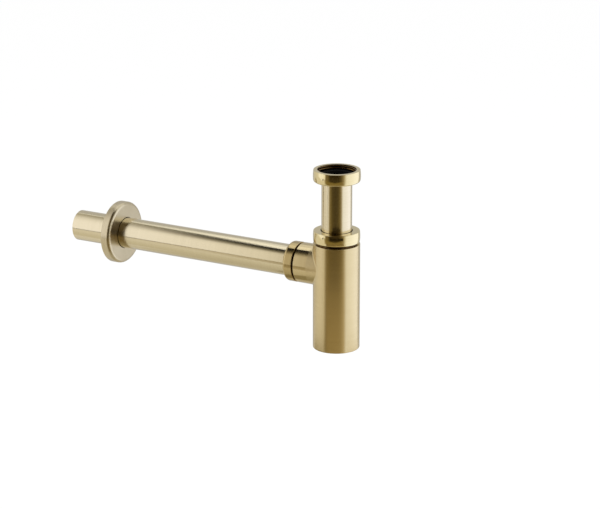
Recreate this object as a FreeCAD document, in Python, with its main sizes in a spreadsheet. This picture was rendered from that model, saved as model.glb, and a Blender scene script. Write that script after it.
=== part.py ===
import FreeCAD, Part
import math
import os
import re

import Sketcher

# Bottle trap of a wash basin, in millimetres.
# The origin is the centre of the union nut's mouth, +Z is up along the inlet,
# and the wall tube runs along -X.

SIZES = {
    # Tubes: the upright inlet tube, and the wall tube, which measures a little wider.
    "tube_diameter": 32.0,
    "wall_tube_diameter": 33.2,
    "tube_wall": 1.0,
    "tube_clearance": 0.4,
    "seal_clearance": 0.2,
    "edge_break": 0.4,
    # Union nut that pulls the inlet tube up to the basin waste.
    "union_thread_diameter": 40.4,
    "union_nut_wall": 4.6,
    "union_nut_height": 12.6,
    "union_nut_floor": 2.6,
    "union_nut_round": 2.2,
    "union_nut_crown": 0.5,
    "union_relief_depth": 0.6,
    "collar_clearance": 1.2,
    "collar_thickness": 2.0,
    "washer_clearance": 0.8,
    "washer_overhang": 0.5,
    "washer_thickness": 2.6,
    # Parts that both clamped joints share.
    "nut_hole_clearance": 0.85,
    "slip_ring_thickness": 1.2,
    "ring_clearance": 0.4,
    "thread_depth": 0.8,
    "thread_play": 0.2,
    "seat_clearance": 0.1,
    "seal_tip_width": 0.4,
    # Joint between the inlet tube and the bottle.
    "top_nut_drop": 65.2,
    "top_nut_wall": 3.0,
    "top_nut_height": 11.5,
    "top_nut_plate": 2.6,
    "top_nut_round": 0.6,
    "top_nut_crown": 0.4,
    "top_seal_lip": 3.2,
    "neck_gap": 2.6,
    "neck_seat_width": 3.0,
    "neck_land_width": 1.2,
    # Bottle.
    "bottle_diameter": 49.2,
    "bottle_height": 113.7,
    "bottle_wall": 1.8,
    "bottle_shoulder_thickness": 3.0,
    "bottle_base_round": 1.2,
    "dip_tube_clearance": 10.3,
    # Branch of the bottle and its joint with the wall tube.
    "outlet_drop": 27.0,
    "branch_length": 16.0,
    "branch_saddle_round": 1.2,
    "branch_stop_depth": 1.4,
    "outlet_gap": 2.4,
    "outlet_nut_wall": 1.5,
    "outlet_nut_length": 11.0,
    "outlet_nut_plate": 2.2,
    "outlet_nut_round": 3.0,
    "outlet_seal_lip": 2.6,
    "outlet_seat_width": 1.1,
    "outlet_land_width": 0.7,
    # Wall tube and the cover flange that slides along it.
    "wall_tube_room": 3.0,
    "wall_tube_length": 293.3,
    "flange_from_end": 49.0,
    "flange_diameter": 67.4,
    "flange_depth": 10.8,
    "flange_plate": 2.6,
    "flange_rim_width": 2.0,
    "flange_round": 3.5,
    "flange_hole_clearance": 0.6,
    "flange_hub_wall": 5.0,
    "flange_hub_recess": 1.0,
    "flange_ring_section": 2.6,
    "flange_ring_room": 0.3,
    # Cleaning plug in the base of the bottle.
    "plug_rim_width": 4.0,
    "plug_seat_width": 2.6,
    "plug_head_thickness": 2.2,
    "plug_head_clearance": 0.3,
    "plug_thread_length": 5.0,
    "plug_wall": 2.0,
    "plug_ring_section": 1.6,
    "plug_ring_room": 0.15,
    "plug_slot_margin": 7.3,
    "plug_slot_width": 3.0,
    "plug_slot_depth": 1.2,
}

# Radii and levels worked out from the sizes, as text for the document's expressions.
THREAD_ROOM = "(thread_depth + thread_play)"
TUBE = "tube_diameter / 2"
WALL_TUBE = "wall_tube_diameter / 2"
TUBE_BORE = f"({TUBE} - tube_wall)"
WALL_TUBE_BORE = f"({WALL_TUBE} - tube_wall)"
TUBE_GUIDE = f"({TUBE} + tube_clearance)"
WALL_TUBE_GUIDE = f"({WALL_TUBE} + tube_clearance)"

UNION_THREAD = "union_thread_diameter / 2"
UNION_FLOOR = "-(union_nut_height - union_nut_floor)"
COLLAR_TOP = f"({UNION_FLOOR} + collar_thickness)"
WASHER_TOP = f"({COLLAR_TOP} + washer_thickness)"

# The top nut is flush with the bottle, so the neck's widths share the room inside it.
BOTTLE = "bottle_diameter / 2"
NECK_ROOM = f"({BOTTLE} - {TUBE_GUIDE} - {THREAD_ROOM})"
NECK_SHARE = f"({NECK_ROOM} / (neck_seat_width + neck_land_width + top_nut_wall))"
NECK_SEAT_DEPTH = f"(neck_seat_width * {NECK_SHARE})"
NECK_SEAT = f"({TUBE_GUIDE} + {NECK_SEAT_DEPTH})"
NECK = f"({NECK_SEAT} + neck_land_width * {NECK_SHARE})"
TOP_NUT_BORE = f"({NECK} + {THREAD_ROOM})"
TOP_PLATE = "-(top_nut_drop + top_nut_plate)"
TOP_RING = f"({TOP_PLATE} - slip_ring_thickness)"
NECK_TOP = f"({TOP_RING} - top_seal_lip)"

SHOULDER = "-(top_nut_drop + top_nut_height + neck_gap)"
BASE = f"({SHOULDER} - bottle_height)"
PLUG_RECESS = f"({BOTTLE} - plug_rim_width)"
PLUG_HEAD = f"({PLUG_RECESS} - plug_head_clearance)"
PLUG_HOLE = f"({PLUG_RECESS} - plug_seat_width)"
PLUG_STEM = f"({PLUG_HOLE} - {THREAD_ROOM})"
PLUG_RING_HEIGHT = "(plug_ring_section + 2 * plug_ring_room)"
PLUG_RECESS_TOP = f"({BASE} + plug_head_thickness + {PLUG_RING_HEIGHT})"
BOTTLE_FLOOR = f"({PLUG_RECESS_TOP} + plug_thread_length)"
DIP_TUBE_END = f"({BOTTLE_FLOOR} + dip_tube_clearance)"

OUTLET_LEVEL = f"({SHOULDER} - outlet_drop)"
OUTLET_SEAT = f"({WALL_TUBE_GUIDE} + outlet_seat_width)"
OUTLET_NECK = f"({OUTLET_SEAT} + outlet_land_width)"
OUTLET_NUT_BORE = f"({OUTLET_NECK} + {THREAD_ROOM})"
BRANCH = f"({OUTLET_NUT_BORE} + outlet_nut_wall)"
BRANCH_FACE = f"({BOTTLE} + branch_length)"
BRANCH_STOP = f"({BOTTLE} + branch_stop_depth)"
OUTLET_NUT_END = f"({BRANCH_FACE} + outlet_gap + outlet_nut_length)"
OUTLET_PLATE = f"({OUTLET_NUT_END} - outlet_nut_plate)"
OUTLET_RING = f"({OUTLET_PLATE} - slip_ring_thickness)"
OUTLET_NECK_END = f"({OUTLET_RING} - outlet_seal_lip)"

WALL_TUBE_START = f"({BRANCH_STOP} + wall_tube_room)"
WALL_TUBE_END = f"({WALL_TUBE_START} + wall_tube_length)"
FLANGE = "flange_diameter / 2"
FLANGE_BACK = f"({WALL_TUBE_END} - flange_from_end)"
FLANGE_HOLE = f"({WALL_TUBE} + flange_hole_clearance)"
FLANGE_HUB = f"({FLANGE_HOLE} + flange_hub_wall)"
RING_MIDDLE = f"({WALL_TUBE} + seal_clearance + flange_ring_section / 2)"
RING_GROOVE = f"({RING_MIDDLE} + flange_ring_section / 2 + flange_ring_room)"
RING_LEVEL = "-(flange_depth + flange_hub_recess) / 2"
GROOVE_HALF = "(flange_ring_section / 2 + flange_ring_room)"

doc = FreeCAD.newDocument("BottleTrap")
sheet = doc.addObject("Spreadsheet::Sheet", "Sizes")
for row, (alias, size) in enumerate(SIZES.items(), start=1):
    sheet.set(f"A{row}", alias)
    sheet.set(f"B{row}", str(size))
    sheet.setAlias(f"B{row}", alias)
doc.recompute()

# An edge is taken for the one looked for when it lies within this many millimetres of it.
SAME_EDGE = 0.001


def cells(text):
    """The expression with each size's name pointing at its cell in the sheet."""
    return re.sub(r"[a-z]\w*", lambda name: "Sizes." + name.group(), text)


def new_body(label):
    body = doc.addObject("PartDesign::Body", label)
    body.Label = label
    return body


def new_sketch(body, name, role):
    """An empty sketch on one of the body's own origin planes."""
    plane = next(p for p in body.Origin.OriginFeatures if p.Role == role)
    sketch = body.newObject("Sketcher::SketchObject", name)
    sketch.AttachmentSupport = (plane, [""])
    sketch.MapMode = "FlatFace"
    return sketch


def worked_out(text):
    """The number that an expression gives with the sheet as it is."""
    return float(sheet.evalExpression(cells(text)))


def crowned_side(low, high, crown):
    """The arc from a low corner to the one above it, bulging outwards by the crown."""
    half = (high.y - low.y) / 2
    radius = (half ** 2 + crown ** 2) / (2 * crown)
    centre = FreeCAD.Vector(low.x + crown - radius, low.y + half, 0)
    spread = math.asin(half / radius)
    return Part.ArcOfCircle(Part.Circle(centre, FreeCAD.Vector(0, 0, 1), radius), -spread, spread)


def draw_outline(sketch, corners, crowned=None):
    """A closed outline whose corners are each held by two bound distances.
    The side that goes up from the crowned corner, if there is one, bulges by the crown given with it."""
    count = len(corners)
    starts = [FreeCAD.Vector(worked_out(c[0]), worked_out(c[1]), 0) for c in corners]
    crowned_corner, crown = crowned or (None, None)
    for i in range(count):
        end = starts[(i + 1) % count]
        if i == crowned_corner:
            sketch.addGeometry(crowned_side(starts[i], end, worked_out(crown)))
        else:
            sketch.addGeometry(Part.LineSegment(starts[i], end))
    for i in range(count):
        sketch.addConstraint(Sketcher.Constraint("Coincident", i, 2, (i + 1) % count, 1))
    for i, corner in enumerate(corners):
        places = [("DistanceX", starts[i].x, corner[0]), ("DistanceY", starts[i].y, corner[1])]
        for kind, start, text in places:
            held = sketch.addConstraint(Sketcher.Constraint(kind, -1, 1, i, 1, start))
            sketch.setExpression(f"Constraints[{held}]", cells(text))
    if crowned:
        edge, low = corners[crowned_corner][:2]
        high = corners[crowned_corner + 1][1]
        bend = f"((({high}) - ({low})) ^ 2 / 4 + {crown} ^ 2) / (2 * {crown})"
        centre = f"{edge} + {crown} - ({bend})"
        at = worked_out(centre)
        held = sketch.addConstraint(Sketcher.Constraint("DistanceX", -1, 1, crowned_corner, 3, at))
        sketch.setExpression(f"Constraints[{held}]", cells(centre))


def spin(body, kind, name, corners, axis="V_Axis", level=None, crowned=None):
    """A Revolution or Groove of an outline drawn on the body's XZ plane."""
    sketch = new_sketch(body, name + "Outline", "XZ_Plane")
    if level:
        sketch.setExpression("AttachmentOffset.Base.y", cells(level))
    draw_outline(sketch, corners, crowned)
    feature = body.newObject("PartDesign::" + kind, name)
    feature.Profile = sketch
    feature.ReferenceAxis = (sketch, [axis])
    feature.Angle = 360
    doc.recompute()
    return feature, sketch


def round_edges(body, name, feature, wanted, radius):
    """A Fillet on every edge of the feature that the test picks."""
    picked = [f"Edge{i}" for i, edge in enumerate(feature.Shape.Edges, start=1) if wanted(edge)]
    fillet = body.newObject("PartDesign::Fillet", name)
    fillet.Base = (feature, picked)
    fillet.setExpression("Radius", cells(radius))
    doc.recompute()
    return fillet


def is_circle(edge, radius, height):
    """Is the edge the circle about Z that this corner of an outline sweeps?"""
    if edge.Curve.TypeId != "Part::GeomCircle":
        return False
    off = abs(edge.Curve.Radius - radius) + abs(edge.Curve.Center.z - height)
    return off < SAME_EDGE


def turned(label, corners, crowned=None):
    """A turned piece: each corner is a radius, a height and, if it is rounded, a radius for that."""
    body = new_body(label)
    feature, sketch = spin(body, "Revolution", label + "_turned", corners, crowned=crowned)
    points = [line.StartPoint for line in sketch.Geometry]
    for i, corner in enumerate(corners):
        if len(corner) == 3:
            at = points[i]
            name = f"{label}_round{i}"
            feature = round_edges(body, name, feature, lambda e: is_circle(e, at.x, at.y), corner[2])
    return body


def stand(piece, level):
    """Place a piece on the inlet's axis, at a level."""
    piece.setExpression("Placement.Base.z", cells(level))


def lay(piece, distance):
    """Place a piece on the outlet's axis, its own +Z pointing out to the wall."""
    to_wall = FreeCAD.Rotation(FreeCAD.Vector(0, 0, 1), FreeCAD.Vector(-1, 0, 0))
    piece.Placement = FreeCAD.Placement(FreeCAD.Vector(), to_wall)
    piece.setExpression("Placement.Base.x", cells(f"-({distance})"))
    piece.setExpression("Placement.Base.z", cells(OUTLET_LEVEL))


def o_ring(label, middle, section):
    """A round-section ring, from its mid-line radius and its section's diameter."""
    ring = doc.addObject("Part::Torus", label)
    ring.Label = label
    ring.setExpression("Radius1", cells(middle))
    ring.setExpression("Radius2", cells(f"{section} / 2"))
    return ring


def slip_ring(label, tube, nut_bore):
    """Flat friction ring between a nut's plate and its seal."""
    inner = f"({tube} + tube_clearance)"
    outer = f"({nut_bore} - ring_clearance)"
    return turned(label, [
        (inner, "-slip_ring_thickness"),
        (outer, "-slip_ring_thickness"),
        (outer, "0"),
        (inner, "0"),
    ])


def cone_seal(label, tube, seat, lip):
    """Tapered seal: its 45 degree cone lies in the neck's seat, and its lip stands out of it."""
    inner = f"({tube} + seal_clearance)"
    outer = f"({seat} - seat_clearance)"
    tip = f"({inner} + seal_tip_width)"
    tip_level = f"-({outer} - {tip})"
    return turned(label, [
        (inner, tip_level),
        (tip, tip_level),
        (outer, "0"),
        (outer, lip),
        (inner, lip),
    ])


def clamp_nut(label, tube, bore, outer, length, plate, far_round, crown=None):
    """Ring nut with a plate that carries the slip ring and a skirt round the neck."""
    hole = f"({tube} + nut_hole_clearance)"
    edge = f"({outer} - {crown})" if crown else outer
    corners = [
        (hole, f"-{plate}"),
        (bore, f"-{plate}"),
        (bore, f"-{length}"),
        (edge, f"-{length}", "edge_break"),
        (edge, "0", far_round),
        (hole, "0"),
    ]
    return turned(label, corners, crowned=(3, crown) if crown else None)


# Union nut: open at the top for the basin waste, with a floor that lifts the tube's collar.
# The thread runs down to the washer's face, and a wider relief holds washer and collar.
UNION_NUT_EDGE = f"({UNION_THREAD} + union_nut_wall - union_nut_crown)"
turned("inlet_union_nut", [
    (TUBE_GUIDE, "-union_nut_height"),
    (UNION_NUT_EDGE, "-union_nut_height", "union_nut_round"),
    (UNION_NUT_EDGE, "0", "edge_break"),
    (UNION_THREAD, "0"),
    (UNION_THREAD, WASHER_TOP),
    (f"{UNION_THREAD} + union_relief_depth", WASHER_TOP),
    (f"{UNION_THREAD} + union_relief_depth", UNION_FLOOR),
    (TUBE_GUIDE, UNION_FLOOR),
], crowned=(1, "union_nut_crown"))

# Inlet tube: the collar sits in the nut, and the lower end dips into the bottle's water.
turned("inlet_tube", [
    (TUBE_BORE, DIP_TUBE_END),
    (TUBE, DIP_TUBE_END),
    (TUBE, UNION_FLOOR),
    (f"{UNION_THREAD} - collar_clearance", UNION_FLOOR),
    (f"{UNION_THREAD} - collar_clearance", COLLAR_TOP),
    (TUBE_BORE, COLLAR_TOP),
])

washer = turned("inlet_flat_washer", [
    (f"{TUBE_BORE} - washer_overhang", "0"),
    (f"{UNION_THREAD} - washer_clearance", "0"),
    (f"{UNION_THREAD} - washer_clearance", "washer_thickness"),
    (f"{TUBE_BORE} - washer_overhang", "washer_thickness"),
])
stand(washer, COLLAR_TOP)

# Clamped joint between the inlet tube and the bottle's neck.
top_nut = clamp_nut(
    "bottle_top_nut",
    TUBE,
    TOP_NUT_BORE,
    BOTTLE,
    "top_nut_height",
    "top_nut_plate",
    "top_nut_round",
    crown="top_nut_crown",
)
stand(top_nut, "-top_nut_drop")
stand(slip_ring("top_slip_ring", TUBE, TOP_NUT_BORE), TOP_PLATE)
stand(cone_seal("top_cone_seal", TUBE, NECK_SEAT, "top_seal_lip"), NECK_TOP)

# Bottle: outer form, then the branch and its saddle, then the hollows.
bottle = new_body("bottle_body")
bottle_form, _ = spin(bottle, "Revolution", "BottleForm", [
    ("0", BASE),
    (BOTTLE, BASE),
    (BOTTLE, SHOULDER),
    (NECK, SHOULDER),
    (NECK, NECK_TOP),
    ("0", NECK_TOP),
])
branch_form, _ = spin(bottle, "Revolution", "BranchForm", [
    ("0", "0"),
    ("0", BRANCH),
    (f"-{BRANCH_FACE}", BRANCH),
    (f"-{BRANCH_FACE}", OUTLET_NECK),
    (f"-{OUTLET_NECK_END}", OUTLET_NECK),
    (f"-{OUTLET_NECK_END}", "0"),
], axis="H_Axis", level=OUTLET_LEVEL)


def is_saddle(edge):
    """Is the edge the curve where the branch meets the bottle?"""
    return edge.Curve.TypeId == "Part::GeomBSplineCurve"


def is_rim_of_bottle(edge, end):
    """Is the edge the bottle's outer circle at its lowest or highest level?"""
    if edge.Curve.TypeId != "Part::GeomCircle":
        return False
    same_radius = abs(edge.Curve.Radius - sheet.bottle_diameter / 2) < SAME_EDGE
    box = bottle_form.Shape.BoundBox
    near_base = edge.Curve.Center.z - box.ZMin < sheet.bottle_height / 2
    return same_radius and near_base == (end == "base")


saddle = round_edges(bottle, "BranchSaddle", branch_form, is_saddle, "branch_saddle_round")
base_round = round_edges(
    bottle, "BaseRound", saddle, lambda e: is_rim_of_bottle(e, "base"), "bottle_base_round"
)
shoulder_break = round_edges(
    bottle, "ShoulderBreak", base_round, lambda e: is_rim_of_bottle(e, "top"), "edge_break"
)
bottle_hollow, _ = spin(bottle, "Groove", "BottleHollow", [
    ("0", BASE),
    (PLUG_RECESS, BASE),
    (PLUG_RECESS, PLUG_RECESS_TOP),
    (PLUG_HOLE, PLUG_RECESS_TOP),
    (PLUG_HOLE, BOTTLE_FLOOR),
    (f"{BOTTLE} - bottle_wall", BOTTLE_FLOOR),
    (f"{BOTTLE} - bottle_wall", f"{SHOULDER} - bottle_shoulder_thickness"),
    (TUBE_GUIDE, f"{SHOULDER} - bottle_shoulder_thickness"),
    (TUBE_GUIDE, f"{NECK_TOP} - {NECK_SEAT_DEPTH}"),
    (NECK_SEAT, NECK_TOP),
    ("0", NECK_TOP),
])
branch_hollow, _ = spin(bottle, "Groove", "BranchHollow", [
    ("0", "0"),
    ("0", WALL_TUBE_BORE),
    (f"-{BRANCH_STOP}", WALL_TUBE_BORE),
    (f"-{BRANCH_STOP}", WALL_TUBE_GUIDE),
    (f"-({OUTLET_NECK_END} - outlet_seat_width)", WALL_TUBE_GUIDE),
    (f"-{OUTLET_NECK_END}", OUTLET_SEAT),
    (f"-{OUTLET_NECK_END}", "0"),
], axis="H_Axis", level=OUTLET_LEVEL)

# Cleaning plug: a flush head with a coin slot, and a hollow threaded stem.
plug = turned("cleaning_plug", [
    ("0", "0"),
    (PLUG_HEAD, "0", "edge_break"),
    (PLUG_HEAD, "plug_head_thickness"),
    (PLUG_STEM, "plug_head_thickness"),
    (PLUG_STEM, f"plug_head_thickness + {PLUG_RING_HEIGHT} + plug_thread_length"),
    (f"{PLUG_STEM} - plug_wall", f"plug_head_thickness + {PLUG_RING_HEIGHT} + plug_thread_length"),
    (f"{PLUG_STEM} - plug_wall", "plug_head_thickness + plug_wall"),
    ("0", "plug_head_thickness + plug_wall"),
])
slot_sketch = new_sketch(plug, "CoinSlotOutline", "XY_Plane")
draw_outline(slot_sketch, [
    (f"-({PLUG_HEAD} - plug_slot_margin)", "-plug_slot_width / 2"),
    (f"{PLUG_HEAD} - plug_slot_margin", "-plug_slot_width / 2"),
    (f"{PLUG_HEAD} - plug_slot_margin", "plug_slot_width / 2"),
    (f"-({PLUG_HEAD} - plug_slot_margin)", "plug_slot_width / 2"),
])
uncut_plug = plug.Shape.Volume
slot = plug.newObject("PartDesign::Pocket", "CoinSlot")
slot.Profile = slot_sketch
slot.Reversed = True
slot.setExpression("Length", cells("plug_slot_depth"))
stand(plug, BASE)

plug_ring = o_ring(
    "plug_o_ring", f"{PLUG_STEM} + plug_ring_section / 2 + plug_ring_room", "plug_ring_section"
)
stand(plug_ring, f"{BASE} + plug_head_thickness + {PLUG_RING_HEIGHT} / 2")

# Clamped joint between the branch and the wall tube.
outlet_nut = clamp_nut(
    "outlet_nut",
    WALL_TUBE,
    OUTLET_NUT_BORE,
    BRANCH,
    "outlet_nut_length",
    "outlet_nut_plate",
    "outlet_nut_round",
)
lay(outlet_nut, OUTLET_NUT_END)
lay(slip_ring("outlet_slip_ring", WALL_TUBE, OUTLET_NUT_BORE), OUTLET_PLATE)
lay(cone_seal("outlet_cone_seal", WALL_TUBE, OUTLET_SEAT, "outlet_seal_lip"), OUTLET_NECK_END)

wall_tube = turned("wall_tube", [
    (WALL_TUBE_BORE, "0"),
    (WALL_TUBE, "0"),
    (WALL_TUBE, "wall_tube_length"),
    (WALL_TUBE_BORE, "wall_tube_length"),
])
lay(wall_tube, WALL_TUBE_START)

# Wall flange: a cup open to the wall, with a hub whose groove holds the gripping ring.
flange = turned("wall_flange", [
    (FLANGE_HOLE, "-flange_depth"),
    (FLANGE, "-flange_depth", "flange_round"),
    (FLANGE, "0", "edge_break"),
    (f"{FLANGE} - flange_rim_width", "0"),
    (f"{FLANGE} - flange_rim_width", "-(flange_depth - flange_plate)"),
    (FLANGE_HUB, "-(flange_depth - flange_plate)"),
    (FLANGE_HUB, "-flange_hub_recess"),
    (FLANGE_HOLE, "-flange_hub_recess"),
    (FLANGE_HOLE, f"{RING_LEVEL} + {GROOVE_HALF}"),
    (RING_GROOVE, f"{RING_LEVEL} + {GROOVE_HALF}"),
    (RING_GROOVE, f"{RING_LEVEL} - {GROOVE_HALF}"),
    (FLANGE_HOLE, f"{RING_LEVEL} - {GROOVE_HALF}"),
])
lay(flange, FLANGE_BACK)
lay(o_ring("flange_o_ring", RING_MIDDLE, "flange_ring_section"), f"{FLANGE_BACK} + {RING_LEVEL}")

doc.recompute()

pieces = [o for o in doc.Objects if o.TypeId in ("PartDesign::Body", "Part::Torus")]
for item in doc.Objects:
    if "Invalid" in item.State or "Error" in item.State:
        raise RuntimeError(f"{item.Name} failed: {item.State}")
for piece in pieces:
    if piece.Shape.isNull() or not piece.Shape.isValid():
        raise RuntimeError(f"{piece.Label} has no valid shape")
    if len(piece.Shape.Solids) != 1:
        raise RuntimeError(f"{piece.Label} isn't one solid")
cuts = [
    ("coin slot", uncut_plug, plug.Shape.Volume),
    ("bottle hollow", shoulder_break.Shape.Volume, bottle_hollow.Shape.Volume),
    ("branch hollow", bottle_hollow.Shape.Volume, branch_hollow.Shape.Volume),
]
for name, before, after in cuts:
    if after >= before:
        raise RuntimeError(f"the {name} cut nothing")

os.makedirs("parts", exist_ok=True)
for piece in pieces:
    piece.Shape.exportStep(f"parts/{piece.Label}.step")
    box = piece.Shape.BoundBox
    print(f"{piece.Label}: {piece.Shape.Volume:.0f} mm3, Z {box.ZMin:.2f} to {box.ZMax:.2f}")
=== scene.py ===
# %% [markdown]
# # A basin's bottle trap in brushed brass
#
# The trap hangs under a wash basin: water comes down the short upright tube, turns round
# in the bottle and leaves through the long tube to the wall. All the solid pieces come from
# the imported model, so this lesson adds what a construction model leaves out: the screw
# threads, the finishes, and a small photo studio round them.

import math

import bpy
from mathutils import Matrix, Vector


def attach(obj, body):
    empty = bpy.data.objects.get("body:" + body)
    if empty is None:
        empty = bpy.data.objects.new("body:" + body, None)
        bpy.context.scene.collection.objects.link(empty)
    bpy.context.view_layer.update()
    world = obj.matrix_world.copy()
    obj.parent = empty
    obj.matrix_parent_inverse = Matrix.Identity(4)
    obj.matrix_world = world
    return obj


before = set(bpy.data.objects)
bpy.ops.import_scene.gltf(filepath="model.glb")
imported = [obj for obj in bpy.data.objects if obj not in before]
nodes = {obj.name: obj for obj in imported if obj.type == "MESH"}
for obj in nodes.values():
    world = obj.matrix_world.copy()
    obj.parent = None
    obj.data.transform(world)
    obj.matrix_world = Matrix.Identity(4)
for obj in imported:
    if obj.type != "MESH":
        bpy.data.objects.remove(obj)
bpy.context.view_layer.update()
print("pieces of the model:", sorted(nodes))

# %% [markdown]
# ## Units and colours
#
# Blender works in metres, while a fitter thinks in millimetres, so sizes are written in
# millimetres and one factor turns them to metres. Colours are written as they look on a
# screen (sRGB), because such a value can be checked with any colour picker. The renderer
# needs them linear, and one function does that.

# %% Units and colours
MM = 0.001
WHITE = (1, 1, 1, 1)


def linear(hex_colour):
    """An sRGB colour such as D2BE90 as the linear colour that the shader needs."""
    parts = [int(hex_colour[i:i + 2], 16) / 255 for i in (0, 2, 4)]
    bent = [c / 12.92 if c <= 0.04045 else ((c + 0.055) / 1.055) ** 2.4 for c in parts]
    return (*bent, 1.0)


print("brushed brass in linear light:", [round(c, 3) for c in linear("D2BE90")])

# %% [markdown]
# ## Nodes and materials
#
# A finish is a small graph of nodes. It could be drawn by hand in the shader editor, but a
# script can be read and run again. Such scripts get long, so one small function adds a node,
# sets it up and links it, and another starts an empty material.

# %% Nodes and materials
def add(tree, kind, inputs=None, **settings):
    """Adds a node with its settings; an input is a plain value or another node's output."""
    made = tree.nodes.new(kind)
    for name, value in settings.items():
        setattr(made, name, value)
    for name, value in (inputs or {}).items():
        if isinstance(value, bpy.types.NodeSocket):
            tree.links.new(value, made.inputs[name])
        else:
            made.inputs[name].default_value = value
    return made


def new_material(name):
    """An empty node material and its tree."""
    material = bpy.data.materials.new(name)
    material.use_nodes = True
    material.node_tree.nodes.clear()
    return material, material.node_tree


print("materials so far:", len(bpy.data.materials))

# %% [markdown]
# ## The camera
#
# The product picture was taken from the right and a little above, with a long lens: the
# long tube keeps almost the same width from end to end. A camera could be dragged into place
# in the viewport. Angles round the trap, a distance and a lens say the same in numbers that
# can be read and corrected. The trap hangs left of the picture's middle, so the camera
# aims beside it, which needs no shift of the lens.

# %% Camera
CAMERA_AZIMUTH = math.radians(31.0)
CAMERA_ELEVATION = math.radians(16.7)
CAMERA_DISTANCE = 2.6
LENS_MM = 146.81
SENSOR_MM = 36.0
AIM_RIGHT, AIM_DOWN = 57.47 * MM, 13.24 * MM

back = Vector((
    math.sin(CAMERA_AZIMUTH) * math.cos(CAMERA_ELEVATION),
    -math.cos(CAMERA_AZIMUTH) * math.cos(CAMERA_ELEVATION),
    math.sin(CAMERA_ELEVATION),
))
right = Vector((math.cos(CAMERA_AZIMUTH), math.sin(CAMERA_AZIMUTH), 0))
up = back.cross(right)
middle = Vector((-110, 0, -95)) * MM
aim = middle + right * AIM_RIGHT - up * AIM_DOWN

lens = bpy.data.cameras.new("studio_camera")
lens.lens = LENS_MM
lens.sensor_width = SENSOR_MM
camera = bpy.data.objects.new("studio_camera", lens)
bpy.context.scene.collection.objects.link(camera)
camera.location = middle + back * CAMERA_DISTANCE
camera.rotation_mode = "QUATERNION"
camera.rotation_quaternion = (aim - camera.location).to_track_quat("-Z", "Y")
bpy.context.scene.camera = camera
print("camera at", [round(c, 3) for c in camera.location])

# %% [markdown]
# ## The white room
#
# The picture has a clean white background. A backdrop could be lit until it is white, but
# that light would fall on the trap too. So the world itself is plain white, at a strength
# at which a colour renders about as it is written.

# %% World
bpy.context.scene.view_settings.view_transform = "Standard"

world = bpy.data.worlds.new("white_room")
world.use_nodes = True
tree = world.node_tree
tree.nodes.clear()
sky = add(tree, "ShaderNodeBackground", {"Color": WHITE, "Strength": 1.0})
add(tree, "ShaderNodeOutputWorld", {"Surface": sky.outputs[0]})
bpy.context.scene.world = world
print("world strength", sky.inputs["Strength"].default_value)

# %% [markdown]
# ## A paper floor
#
# Matt white paper lies well below the trap, as if it hung under its basin. Paper scatters
# the light evenly and would look grey in this room, so it glows towards the camera and the
# reflections, which leaves only a faint, soft shadow. The floor and all that follows in this
# studio are thin sheets, so one function makes a grid of quads from a rule for its corners.

# %% Matt white paper
FLOOR_GLOW = 0.85

paper, tree = new_material("matt_white_paper")
path = add(tree, "ShaderNodeLightPath")
seen = add(tree, "ShaderNodeMath",
           {0: path.outputs["Is Camera Ray"], 1: path.outputs["Is Glossy Ray"]}, operation="MAXIMUM")
shown = add(tree, "ShaderNodeMath",
            {0: seen.outputs[0], 1: path.outputs["Is Transmission Ray"]}, operation="MAXIMUM")
share = add(tree, "ShaderNodeMath", {0: shown.outputs[0], 1: FLOOR_GLOW}, operation="MULTIPLY")
matt = add(tree, "ShaderNodeBsdfDiffuse", {"Color": linear("F8F8F8")})
white = add(tree, "ShaderNodeEmission", {"Color": WHITE, "Strength": 1.0})
both = add(tree, "ShaderNodeMixShader", {0: share.outputs[0], 1: matt.outputs[0], 2: white.outputs[0]})
add(tree, "ShaderNodeOutputMaterial", {"Surface": both.outputs[0]})
print("paper glows with", FLOOR_GLOW, "of white")

# %% Bent sheets and the floor
FLOOR_LEVEL = -1000 * MM
FLOOR_SIZE = 24.0


def bent_sheet(name, place, rows=1, columns=1):
    """A grid of quads whose corner at u and v, both 0 to 1, lies at place(u, v)."""
    corners = [place(i / rows, j / columns) for i in range(rows + 1) for j in range(columns + 1)]
    step = columns + 1
    quads = [(i * step + j, (i + 1) * step + j, (i + 1) * step + j + 1, i * step + j + 1)
             for i in range(rows) for j in range(columns)]
    mesh = bpy.data.meshes.new(name)
    mesh.from_pydata(corners, [], quads)
    layer = mesh.uv_layers.new(name="sheet")
    for loop in mesh.loops:
        row, column = divmod(loop.vertex_index, step)
        layer.data[loop.index].uv = (row / rows, column / columns)
    sheet = bpy.data.objects.new(name, mesh)
    bpy.context.scene.collection.objects.link(sheet)
    return sheet


floor = bent_sheet("floor", lambda u, v: ((u - 0.5) * FLOOR_SIZE, (v - 0.5) * FLOOR_SIZE, FLOOR_LEVEL))
floor.data.materials.append(paper)
print("floor at", FLOOR_LEVEL, "m")

# %% [markdown]
# ## Soft lamps
#
# Two large area lamps light the floor, the rubber and the plastic: the larger a lamp, the
# softer its shadow. Metal would show them as bright squares, so they are kept out of the
# reflections, and the cards below say what the metal sees.

# %% Lamps
for name, place, size, power in [
    ("key_lamp", (-1.3, -1.5, 1.9), 1.6, 60.0),
    ("fill_lamp", (1.6, -0.6, 1.7), 1.4, 32.0),
]:
    lamp = bpy.data.lights.new(name, "AREA")
    lamp.size = size
    lamp.energy = power
    holder = bpy.data.objects.new(name, lamp)
    bpy.context.scene.collection.objects.link(holder)
    holder.location = place
    holder.rotation_mode = "QUATERNION"
    holder.rotation_quaternion = (middle - holder.location).to_track_quat("-Z", "Y")
    holder.visible_glossy = False
    print(name, "gives", round(power / (math.pi * size * size), 2), "per square metre and steradian")

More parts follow.
